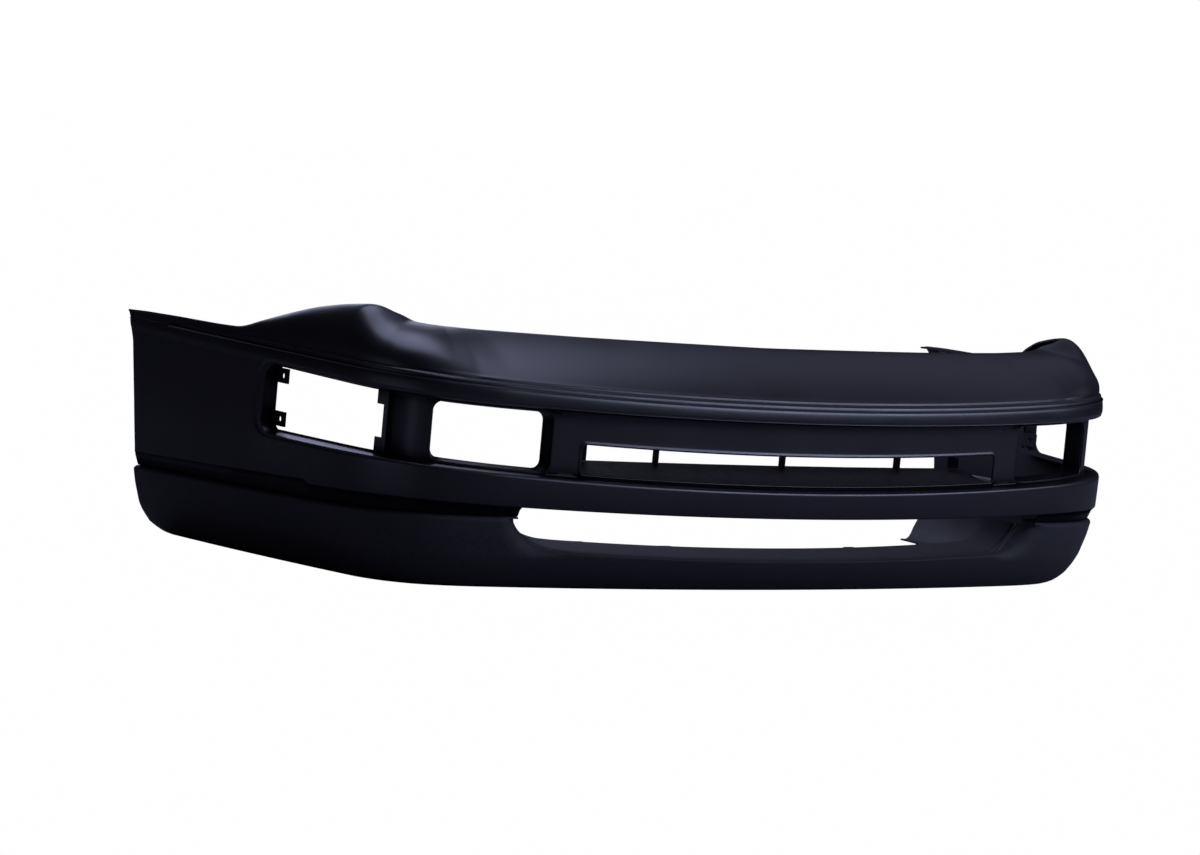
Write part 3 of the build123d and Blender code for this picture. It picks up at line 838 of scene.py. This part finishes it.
# ---- air dam ------------------------------------------------------------------------------------------
# the face's outward distance over height
DAM_Z = [0, 2, 6, 12, 21, 38, 55, 89, 111, 118]
DAM_D = [-72, -64, -56, -48, -38, -26, -17, -6, -1.2, -1]
DAM_GAP = 0.6               # how far the dam's face ends below the seam line
DAM_FOOT = (-73.5, -78.0, -84.0)    # outward distances of the rows under the dam
DAM_FLANGE = (-38.0, -16.0, -10.0)  # and of the rows over its top, from the inner edge
SILL_END = 440              # where the lower intake's sill turns up
SILL = (56, 9)              # the sill's height at the centre and its rise to that place
MOUTH_BEND = [(440, 65), (478, 67.5), (510, 75.5), (532, 88), (547, 102), (556, 116)]


def softened_face():
    """Heights and outward distances of the dam's face, as a flowing curve through its corners."""
    below = 12
    heights = np.linspace(-below, 130, 143)
    rough = np.interp(heights, DAM_Z, DAM_D)
    rough[:below] = DAM_D[0] - 2.5 * np.arange(below, 0, -1)
    kernel = np.hanning(9)[1:-1]
    soft = np.convolve(rough, kernel / kernel.sum(), mode="same")
    fine = np.linspace(0, DAM_Z[-1], 60)
    return fine, np.interp(fine, heights, soft)


DAM_FINE_Z, DAM_FINE_D = softened_face()


def dam_depth(s, z):
    """Outward distance of the air dam's face at height z, rounded over at its top."""
    top = height(SEAM, s) - 0.4
    share = np.clip(z / top, 0, 1.05)
    round_over = np.clip((z - top + 6) / 6, 0, 1) ** 2
    return np.interp(share * DAM_Z[-1], DAM_FINE_Z, DAM_FINE_D) - 6.5 * round_over


def mouth_path():
    """Edge of the intake in (s, z), from the centreline: its sill, and the bend up to the seam."""
    sill = [(s, SILL[0] + SILL[1] * (s / SILL_END) ** 2) for s in spaced([0, SILL_END], 9)]
    corners = np.array(MOUTH_BEND, float)
    bend = path_points(corners, np.linspace(0, path_steps(corners)[-1], 25))
    for _ in range(6):
        bend[1:-1] = (bend[:-2] + 2 * bend[1:-1] + bend[2:]) / 4
    return sill, [tuple(p) for p in bend[1:]]


def fillet_radius(s):
    """Radius of the round-over at the mouth's edge: tight at the sill and broad at the ends."""
    return 3.0 + 37.0 * smooth(np.abs(s), 450, 545)


def fillet_drop(path, s, z):
    """How far the face falls back near the mouth's edge; path holds close points along that edge."""
    gaps = np.hypot(np.abs(s)[:, None] - path[:, 0], z[:, None] - path[:, 1])
    radius = fillet_radius(path[gaps.argmin(axis=1), 0])
    away = np.minimum(gaps.min(axis=1), radius)
    return radius - np.sqrt(radius ** 2 - (radius - away) ** 2)


# shares of the way down the dam's face, closer together at its top and bottom
DAM_SHARES = np.concatenate([[0, 0.01, 0.02, 0.035, 0.05, 0.075, 0.1, 0.14, 0.18],
                             np.linspace(0.22, 0.8, 14), np.linspace(0.825, 1, 8)])


def dam_face_rows(s):
    """Rows down the dam's face beyond the intake, and under it."""
    top = height(SEAM, s) - DAM_GAP
    rows = [(dam_depth(s, top * (1 - share)), top * (1 - share)) for share in DAM_SHARES]
    return rows + [(d, 0 * s) for d in DAM_FOOT]


def dam_flange_rows(s):
    """Rows from the inner edge of the dam's top flange to its face."""
    top = height(SEAM, s)
    inner, middle, outer = DAM_FLANGE
    return [(inner, top - 0.5), (middle, top - 0.5), (outer, top - 0.55),
            (dam_depth(s, top - DAM_GAP), top - DAM_GAP)]


def both_sides(half):
    """A path that starts on the centreline, with its mirror image before it."""
    return np.concatenate([half[:0:-1] * (-1, 1), half])


# (share of the way back, lift) of the intake's rim: rolled edge, groove, and the ledge that runs back
RIM = ((0.0, 0.0), (0.02, 1.2), (0.05, 1.9), (0.09, 1.6), (0.12, 0.4), (0.145, 0.2), (0.17, 1.3),
       (0.22, 2.1), (0.4, 4.2), (0.6, 6.3), (0.8, 8.4), (1.0, 10.3))
RIM_BACK = -104.0


def intake_rim(mouth):
    """Rows from the mouth's edge to the rear of its rim, which splays more at the ends."""
    edge = both_sides(mouth)
    normal = outward_of(np.gradient(edge, axis=0))
    front = dam_depth(edge[:, 0], edge[:, 1]) - fillet_radius(edge[:, 0])
    splay = 0.5 + 1.8 * smooth(np.abs(edge[:, 0]), SILL_END, 550)
    rows = []
    for share, lift in RIM:
        d = front - share * (front - RIM_BACK)
        rows.append(place(edge[:, 0] + normal[:, 0] * lift * splay, d, edge[:, 1] + normal[:, 1] * lift))
    return np.stack(rows[::-1])


def build_air_dam():
    """Skin of the lower moulding, with the intake's sill, mouth ends and rim."""
    sill, bend = mouth_path()
    mouth = np.array(sill + bend)
    path = path_points(mouth, np.arange(0, path_steps(mouth)[-1], 0.5))
    near, far = 559, 612    # the columns are closer together between these
    beyond = np.concatenate([spaced([near, far], 3.5), spaced([far, BEVEL_STEP[0], PATCH_END], 8)[1:]])
    top = np.stack([beyond, height(SEAM, beyond) - DAM_GAP], axis=1)
    upper = both_sides(np.concatenate([mouth, top]))
    feet = upper[:, 0]
    skin = Skin()
    rows = []
    for share in DAM_SHARES:
        z = upper[:, 1] * (1 - share)
        rows.append(place(feet, dam_depth(feet, z) - fillet_drop(path, feet, z), z))
    rows += [place(feet, d, 0.0) for d in DAM_FOOT]
    skin.grid(np.stack(rows))
    for side in (-1, 1):
        skin.grid(lay_flank(dam_face_rows, side, DAM_REAR_Z, DAM_REAR_Y))
        skin.grid(lay_flank(dam_flange_rows, side, DAM_REAR_Z, DAM_REAR_Y))
        outer = beyond if side > 0 else -beyond[::-1]
        skin.grid(lay(dam_flange_rows(outer), outer))
    skin.grid(intake_rim(mouth))
    return skin.piece("air_dam_skin", MATERIALS["dam_plastic"])


# ---- pieces -------------------------------------------------------------------------------------------
def stand_in(piece, node):
    """Puts a skin in the place of a CAD node."""
    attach(piece, "cover")
    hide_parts(node)


stand_in(build_fascia(), "fascia")
stand_in(build_air_dam(), "air_dam")
for side, name in ((-1, "left"), (1, "right")):
    stand_in(build_lamp_surround(side), "driving_lamp_surround_" + name)

# CAD nodes that stay get the detailed materials and softened edges
CAD_SLOTS = (("slot_", "duct_plastic"), ("rivet_", "nylon"), ("push_pin", "nylon"),
             ("fender_", "coated_steel"), ("intake_", "dam_plastic"))
for name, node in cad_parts.items():
    chosen = "fascia_plastic"
    for start, slot_name in CAD_SLOTS:
        if name.startswith(start):
            chosen = slot_name
    for material_slot in node.material_slots:
        material_slot.material = MATERIALS[chosen]
    edges = node.modifiers.new("soft_edges", "BEVEL")
    edges.width = 0.0004
    edges.segments = 2
    edges.limit_method = "ANGLE"


# ---- floor, light and camera --------------------------------------------------------------------------
def studio_floor():
    """Floor that looks white to the camera and gives back little light."""
    mesh = bpy.data.meshes.new("studio_floor")
    reach, drop = 40.0, -0.0008
    corners = [(-reach, -reach, drop), (reach, -reach, drop), (reach, reach, drop), (-reach, reach, drop)]
    mesh.from_pydata(corners, [], [(0, 1, 2, 3)])
    floor = bpy.data.objects.new("studio_floor", mesh)
    bpy.context.scene.collection.objects.link(floor)
    paint = Paint("studio_floor", 0.9, 0.0)
    paint.shader.inputs["Base Color"].default_value = (0.34, 0.34, 0.36, 1)
    way = paint.tree.nodes.new("ShaderNodeLightPath").outputs["Is Camera Ray"]
    glow = paint.node("ShaderNodeEmission", {"Strength": 0.995}).outputs[0]
    seen = paint.node("ShaderNodeMixShader", {"Fac": way})
    paint.tree.links.new(paint.shader.outputs[0], seen.inputs[1])
    paint.tree.links.new(glow, seen.inputs[2])
    output = paint.tree.nodes["Material Output"]
    paint.tree.links.new(seen.outputs[0], output.inputs["Surface"])
    mesh.materials.append(paint.material)


def lamp(name, spot, aim, size, power, colour):
    """Area lamp at a spot, turned to its aim."""
    data = bpy.data.lights.new(name, "AREA")
    data.shape = "RECTANGLE"
    data.size, data.size_y = size
    data.energy = power
    data.color = colour
    thing = bpy.data.objects.new(name, data)
    bpy.context.scene.collection.objects.link(thing)
    thing.location = spot
    thing.rotation_euler = (Vector(aim) - Vector(spot)).to_track_quat("-Z", "Y").to_euler()


def surroundings():
    """White to the camera, and a dim bluish room as light."""
    world = bpy.data.worlds.new("studio")
    bpy.context.scene.world = world
    world.use_nodes = True
    tree = world.node_tree
    tree.nodes.clear()
    way = tree.nodes.new("ShaderNodeLightPath")
    room = tree.nodes.new("ShaderNodeBackground")
    room.inputs["Color"].default_value = (0.72, 0.74, 1.0, 1)
    room.inputs["Strength"].default_value = 0.03
    white = tree.nodes.new("ShaderNodeBackground")
    white.inputs["Color"].default_value = (1, 1, 1, 1)
    white.inputs["Strength"].default_value = 1.0
    mix = tree.nodes.new("ShaderNodeMixShader")
    out = tree.nodes.new("ShaderNodeOutputWorld")
    tree.links.new(way.outputs["Is Camera Ray"], mix.inputs[0])
    tree.links.new(room.outputs[0], mix.inputs[1])
    tree.links.new(white.outputs[0], mix.inputs[2])
    tree.links.new(mix.outputs[0], out.inputs["Surface"])


def studio_camera():
    """Long lens at the front left, slightly above the bumper, rolled a little."""
    turn, rise, roll = np.radians([-36.293, 4.873, 5.2036])
    distance, across_shift, up_shift = 6.68279, -0.18076, 0.03174
    back = np.array([np.sin(turn) * np.cos(rise), -np.cos(turn) * np.cos(rise), np.sin(rise)])
    right = np.array([np.cos(turn), np.sin(turn), 0.0])
    up = np.cross(back, right)
    aim = np.array([0, 0.3 + FRONT_SHIFT / 1000, 0.2])
    spot = aim + back * distance + right * across_shift + up * up_shift
    rolled_right = np.cos(roll) * right + np.sin(roll) * up
    rolled_up = -np.sin(roll) * right + np.cos(roll) * up
    data = bpy.data.cameras.new("camera")
    data.sensor_width = 36.0
    data.lens = 115.796
    data.clip_end = 200
    camera = bpy.data.objects.new("camera", data)
    bpy.context.scene.collection.objects.link(camera)
    matrix = Matrix.Identity(4)
    for column, axis in enumerate((rolled_right, rolled_up, back)):
        for row in range(3):
            matrix[row][column] = axis[row]
    matrix.translation = Vector(spot)
    camera.matrix_world = matrix
    bpy.context.scene.camera = camera


studio_floor()
surroundings()
studio_camera()
lamp("overhead", (0.05, 0.3, 3.2), (0.05, 0.3, 0), (2.2, 2.4), 54, (0.62, 0.66, 1.0))
lamp("overhead_right", (2.6, 0.5, 3.0), (0.4, -0.2, 0.3), (2.2, 2.4), 5, (0.62, 0.66, 1.0))
lamp("front_right", (2.4, -2.8, 1.9), (0.2, -0.3, 0.1), (2.6, 0.9), 70, (0.62, 0.68, 1.0))
lamp("behind", (0.6, 3.2, 1.7), (0, 0.1, 0.2), (2.6, 1.2), 22, (0.66, 0.7, 1.0))
lamp("low_left", (-3.4, -1.6, 0.25), (-0.4, 0, 0.06), (2.4, 0.5), 3, (0.62, 0.68, 1.0))
bpy.context.scene.view_settings.view_transform = "Standard"
